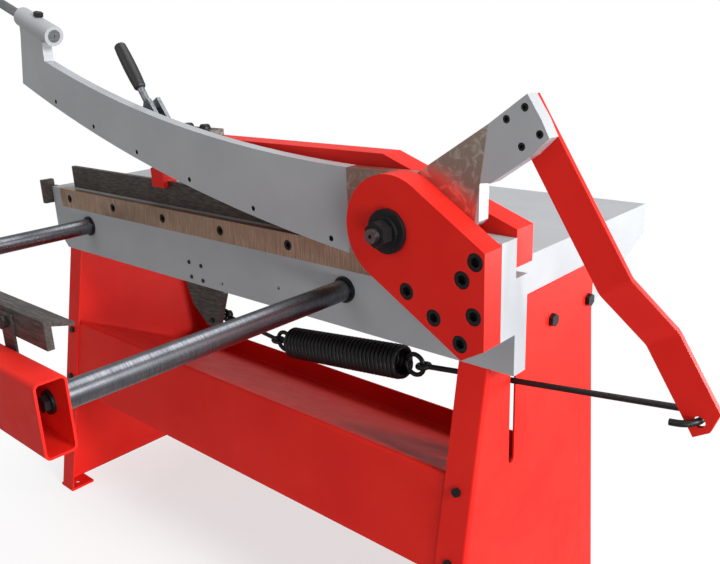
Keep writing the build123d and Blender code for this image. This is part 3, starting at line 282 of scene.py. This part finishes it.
def mesh_piece(name, verts, faces, slot):
    """A new smooth mesh object from arrays, in the material of one of the record's slots."""
    mesh = bpy.data.meshes.new(name)
    mesh.from_pydata([tuple(v) for v in verts], [], [tuple(int(i) for i in f) for f in faces])
    mesh.update()
    mesh.polygons.foreach_set("use_smooth", [True] * len(mesh.polygons))
    obj = bpy.data.objects.new(name, mesh)
    bpy.context.scene.collection.objects.link(obj)
    obj.data.materials.append(MATERIALS[slot])
    return obj


def grid_faces(rows, columns, closed_rows=False):
    """Quads over a grid of vertices whose columns close into a ring."""
    r, c = np.meshgrid(np.arange(rows if closed_rows else rows - 1), np.arange(columns),
                       indexing="ij")
    r2, c2 = (r + 1) % rows, (c + 1) % columns
    quads = [r * columns + c, r * columns + c2, r2 * columns + c2, r2 * columns + c]
    return np.stack(quads, -1).reshape(-1, 4)


def capped_faces(rows, sides):
    """Faces over rows of rings, with a flat cap at each end."""
    faces = [tuple(f) for f in grid_faces(rows, sides)]
    last_ring = (rows - 1) * sides
    faces.append(tuple(range(sides))[::-1])
    faces.append(tuple(range(last_ring, last_ring + sides)))
    return faces


def angles_round(sides):
    """Evenly spaced angles round a full circle."""
    return np.linspace(0, 2 * np.pi, sides, endpoint=False)


def tube(points, radius, sides=12):
    """Round wire along a path: a ring of vertices square to the path at each point, turned as
    little as possible from one point to the next."""
    along = np.gradient(points, axis=0)
    along /= np.linalg.norm(along, axis=1)[:, None]
    side = np.cross(along[0], (0.3, 0.5, 0.8))  # any direction that isn't along the first step
    turn = angles_round(sides)
    rings = []
    for point, way in zip(points, along):
        side = side - way * np.dot(side, way)
        side /= np.linalg.norm(side)
        up = np.cross(way, side)
        rings.append(point + radius * (np.cos(turn)[:, None] * side + np.sin(turn)[:, None] * up))
    return np.concatenate(rings), capped_faces(len(points), sides)


def lathe(start, way, distances, radii, sides=48):
    """A turned piece from start along way, with a radius at each distance."""
    side = np.cross(way, (0, 1, 0.001))
    side /= np.linalg.norm(side)
    up = np.cross(way, side)
    turn = angles_round(sides)
    ring = np.cos(turn)[:, None] * side + np.sin(turn)[:, None] * up
    verts = np.concatenate([start + way * s + r * ring for s, r in zip(distances, radii)])
    return verts, capped_faces(len(distances), sides)


# balance spring: hook, closed coil and hook in one wire
joints = {j["name"]: j for j in frame["joints"]}
spring_axis = np.array(joints["spring_stretch"]["axis"])
head = np.array(joints["spring_hinge"]["pos_m"])
SPRING_LENGTH = 358.24 * MM    # at rest, from one end's joint to the other's
WIRE_R = 4.0 * MM
COIL_R = 26.0 * MM
HOOK_R = 18.0 * MM
HOOK_OPENS_DEG = 40            # the hook's free end, as an angle from the side of the coil
TURNS = 30
STEPS_PER_TURN = 30
END_STEPS = 40                 # points round each hook, and along each run out to the coil
HEAD_HOOK = 19.0 * MM          # from the joint to the middle of the hook
TAIL_HOOK = 18.0 * MM
RUN_OUT = 8.0 * MM             # along the axis while the wire spirals out to the coil
RUN_OUT_DEG = 270              # and round the axis
across = np.array([0.0, 1.0, 0.0])
upright_way = np.cross(spring_axis, across)


def spring_end(hook_middle):
    """From a hook's free end round its tip, then spiralling out from the axis to the coil's
    radius. Each point is its distance from the joint, then its offsets in the hook's plane and
    square to it."""
    round_hook = np.radians(np.linspace(HOOK_OPENS_DEG, 360, END_STEPS))
    hook = np.stack([hook_middle + HOOK_R * np.cos(round_hook), HOOK_R * np.sin(round_hook),
                     np.zeros(END_STEPS)], 1)
    t = np.linspace(0.03, 1, END_STEPS)
    out = COIL_R * np.sin(t * np.pi / 2)
    turn = np.radians(RUN_OUT_DEG) * t
    begin = hook_middle + HOOK_R
    spiral = np.stack([begin + RUN_OUT * t, out * np.cos(turn), out * np.sin(turn)], 1)
    return np.concatenate([hook, spiral])


near = spring_end(HEAD_HOOK)
far = spring_end(TAIL_HOOK)
far[:, 0] = SPRING_LENGTH - far[:, 0]
far[:, 2] = -far[:, 2]
steps = np.linspace(0, 1, TURNS * STEPS_PER_TURN + 1)[1:-1]
first, last = near[-1, 0], far[-1, 0]
wind = np.radians(RUN_OUT_DEG) + steps * 2 * np.pi * (TURNS - 0.5)
coil = np.stack([first + (last - first) * steps, COIL_R * np.cos(wind), COIL_R * np.sin(wind)], 1)
local = np.concatenate([near, coil, far[::-1]])
path = head + local[:, :1] * spring_axis + local[:, 1:2] * upright_way - local[:, 2:] * across
spring = mesh_piece("balance_spring_wire", *tube(path, WIRE_R), "black_steel")
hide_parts("counterbalance_spring", "spring_head_loop", "spring_tail_loop")
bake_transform(spring)


def rounding(s, length, edge, least):
    """A factor of 1 along a bar that falls off as a quarter circle over edge at both its ends,
    down to the root of least."""
    past = np.clip((edge - np.minimum(s, length - s)) / edge, 0, 1)
    return np.sqrt(np.clip(1 - past ** 2, least, 1))


def grip_piece(name, node, lean_deg, s, radii):
    """A turned plastic grip centred on its CAD node, its axis leaning up from +X."""
    low, high = (np.array(c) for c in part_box(node))
    lean = math.radians(lean_deg)
    way = np.array([math.cos(lean), 0, math.sin(lean)])
    start = (low + high) / 2 - way * s[-1] / 2
    return mesh_piece(name, *lathe(start, way, s, radii), "black_plastic")


# grip on the handle's bar, slimmer at its middle and ends, with rings along it
GRIP_LENGTH = 130 * MM
GRIP_R = 16.6 * MM
RING_PITCH = 3.2 * MM
RING_HEIGHT = 0.35 * MM
s = np.linspace(0, GRIP_LENGTH, 160)
swell = 1 - 0.10 * np.cos(2 * np.pi * s / GRIP_LENGTH) ** 2
ringed = (s > 0.1 * GRIP_LENGTH) & (s < 0.9 * GRIP_LENGTH)
rings = RING_HEIGHT * np.cos(s / RING_PITCH * 2 * np.pi) * ringed
grip_ends = rounding(s, GRIP_LENGTH, 6 * MM, 0.03)
grip = grip_piece("ribbed_handle_grip", "handle_grip", 160.7, s,
                  GRIP_R * swell * (0.75 + 0.25 * grip_ends) + rings)
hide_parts("handle_grip")
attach(grip, "arm")

# moulded grip of the hold-down's lever, fuller in the middle, with a groove near its lower end
CLAMP_GRIP = 102 * MM
CLAMP_GRIP_R = 13.4 * MM
GROOVE_AT = 12 * MM
GROOVE_DEPTH = 0.3 * MM
s = np.linspace(0, CLAMP_GRIP, 120)
fullness = 0.84 + 0.16 * np.sin(np.clip(s / CLAMP_GRIP, 0, 1) * np.pi) ** 0.7
clamp_ends = rounding(s, CLAMP_GRIP, 5 * MM, 0.02)
groove = GROOVE_DEPTH * (np.abs(s - GROOVE_AT) < 1 * MM)
clamp_piece = grip_piece("moulded_clamp_grip", "clamp_grip", 124.7, s,
                         CLAMP_GRIP_R * fullness * (0.6 + 0.4 * clamp_ends) - groove)
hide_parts("clamp_grip")
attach(clamp_piece, "clamp")

# thread on the pivot's stud, from its free end to the nut, as a shell closed on the inside by a
# sleeve round the stud's centre hole
THREAD_CREST = 10.25 * MM
THREAD_DEPTH = 1.4 * MM
THREAD_LEAD_IN = 8.0 * MM      # radius of the first row
THREAD_CORE = 4.0 * MM
PITCH = 2.5 * MM
THREAD_SIDES = 64
stud_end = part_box("pivot_shaft")[0][1] + 0.4 * MM
nut_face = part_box("pivot_nut")[0][1]
rows = np.linspace(stud_end, nut_face, 60)
turn = angles_round(THREAD_SIDES)
wave = np.abs(((rows[:, None] / PITCH + turn[None, :] / (2 * np.pi)) % 1) * 2 - 1)
thread_r = THREAD_CREST - THREAD_DEPTH * wave
thread_r[0] = THREAD_LEAD_IN
rows = np.append(rows, [rows[-1], rows[0]])
thread_r = np.concatenate([thread_r, np.full((2, THREAD_SIDES), THREAD_CORE)])
verts = np.stack([pivot.x + thread_r * np.cos(turn), np.repeat(rows[:, None], THREAD_SIDES, 1),
                  pivot.z + thread_r * np.sin(turn)], -1).reshape(-1, 3)
faces = [tuple(f)[::-1] for f in grid_faces(len(rows), THREAD_SIDES, closed_rows=True)]
thread = mesh_piece("stud_thread", verts, faces, "black_steel")
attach(thread, "frame")


# ---- stage -----------------------------------------------------------------------------------

FLOOR_WHITE = 0.6              # share of plain white in the floor under the object
FADE_FROM = 0.4                # between these distances from the origin it turns all white, so
FADE_TO = 1.2                  # that no horizon shows
FLOOR_BOUNCE = 0.35            # strength of that white in what lights the object and mirrors in it
AMBIENT = 0.3                  # strength of the world's light on the object
REFLECTED = 0.5                # strength of the world in reflections

floor_mat, floor_tree, floor_shader = new_material("pale_studio_floor",
                                                   Base_Color=linear("#F4F4F4"), Roughness=0.7)
glow = add(floor_tree, "ShaderNodeEmission", Color=(1, 1, 1, 1), Strength=1.0)
floor_coord = add(floor_tree, "ShaderNodeTexCoord")
distance = add(floor_tree, "ShaderNodeVectorMath", operation="LENGTH")
floor_tree.links.new(floor_coord.outputs["Object"], distance.inputs[0])
fade = ranged(floor_tree, distance.outputs["Value"], FLOOR_WHITE, 1, FADE_FROM, FADE_TO)
# the camera, and anything clear, sees it at full strength; reflections and the light on the
# object get FLOOR_BOUNCE
floor_path = add(floor_tree, "ShaderNodeLightPath")
seen = math_node(floor_tree, "MAXIMUM", floor_path.outputs["Is Camera Ray"],
                 floor_path.outputs["Is Transmission Ray"])
floor_tree.links.new(math_node(floor_tree, "MAXIMUM", seen, FLOOR_BOUNCE), glow.inputs["Strength"])
blend_node = add(floor_tree, "ShaderNodeMixShader")
floor_tree.links.new(fade, blend_node.inputs[0])
floor_tree.links.new(floor_shader.outputs[0], blend_node.inputs[1])
floor_tree.links.new(glow.outputs[0], blend_node.inputs[2])
floor_tree.links.new(blend_node.outputs[0], floor_tree.nodes["Material Output"].inputs["Surface"])
bpy.ops.mesh.primitive_plane_add(size=30, location=(0, 0, -0.5 * MM))
floor = bpy.context.object
floor.name = "studio_floor"
floor.data.materials.append(floor_mat)

world = bpy.data.worlds.new("studio")
bpy.context.scene.world = world
world.use_nodes = True
sky = world.node_tree
back = sky.nodes["Background"]
sky_path = add(sky, "ShaderNodeLightPath")
shown = math_node(sky, "MAXIMUM", sky_path.outputs["Is Camera Ray"],
                  sky_path.outputs["Is Transmission Ray"])
shiny = math_node(sky, "MULTIPLY", sky_path.outputs["Is Glossy Ray"], REFLECTED)
back.inputs["Color"].default_value = (1, 1, 1, 1)
strength = math_node(sky, "MAXIMUM", math_node(sky, "MAXIMUM", shown, shiny), AMBIENT)
sky.links.new(strength, back.inputs["Strength"])


def area_light(name, place, aim, width, power):
    """A soft square studio light."""
    light = bpy.data.lights.new(name, "AREA")
    light.size = width
    light.energy = power
    lamp = bpy.data.objects.new(name, light)
    bpy.context.scene.collection.objects.link(lamp)
    lamp.location = place
    lamp.rotation_mode = "QUATERNION"
    lamp.rotation_quaternion = (Vector(aim) - Vector(place)).to_track_quat("-Z", "Y")


area_light("key", (4.4, -0.2, 2.4), (0.3, 0, 0.6), 1.4, 255)
area_light("front_fill", (-1.2, -3.6, 2.6), (0, 0, 0.6), 2.6, 24)
area_light("top", (0.2, 0.6, 3.6), (0, 0, 0.7), 2.4, 55)
area_light("low_fill", (2.7, -1.7, 0.3), (-0.4, 0, 0.35), 0.8, 26)
area_light("rear_fill", (2.4, 2.2, 0.62), (-0.4, 0.05, 0.4), 0.9, 62)

# the camera looks down over the bed from the pivot's end
CAMERA_PLACE = (1.148, -1.0107, 1.0597)
AZIMUTH_DEG = 42.97            # turned this far from +Y towards -X
DOWN_DEG = 18.06
ROLL_DEG = -2.44
LENS_MM = 39.25
SENSOR_MM = 36
LENS_SHIFT = (0.0097, 0.0056)
camera_data = bpy.data.cameras.new("camera")
camera_data.sensor_width = SENSOR_MM
camera_data.lens = LENS_MM
camera_data.shift_x, camera_data.shift_y = LENS_SHIFT
camera = bpy.data.objects.new("camera", camera_data)
bpy.context.scene.collection.objects.link(camera)
azimuth, down, roll = (math.radians(a) for a in (AZIMUTH_DEG, DOWN_DEG, ROLL_DEG))
forward = Vector((-math.sin(azimuth) * math.cos(down), math.cos(azimuth) * math.cos(down),
                  -math.sin(down)))
level = Vector((math.cos(azimuth), math.sin(azimuth), 0))
upright = level.cross(forward)
right_way = math.cos(roll) * level + math.sin(roll) * upright
up_way = -math.sin(roll) * level + math.cos(roll) * upright
turned = Matrix((right_way, up_way, -forward)).transposed().to_4x4()
camera.matrix_world = Matrix.Translation(CAMERA_PLACE) @ turned
bpy.context.scene.camera = camera
bpy.context.scene.view_settings.view_transform = "Standard"
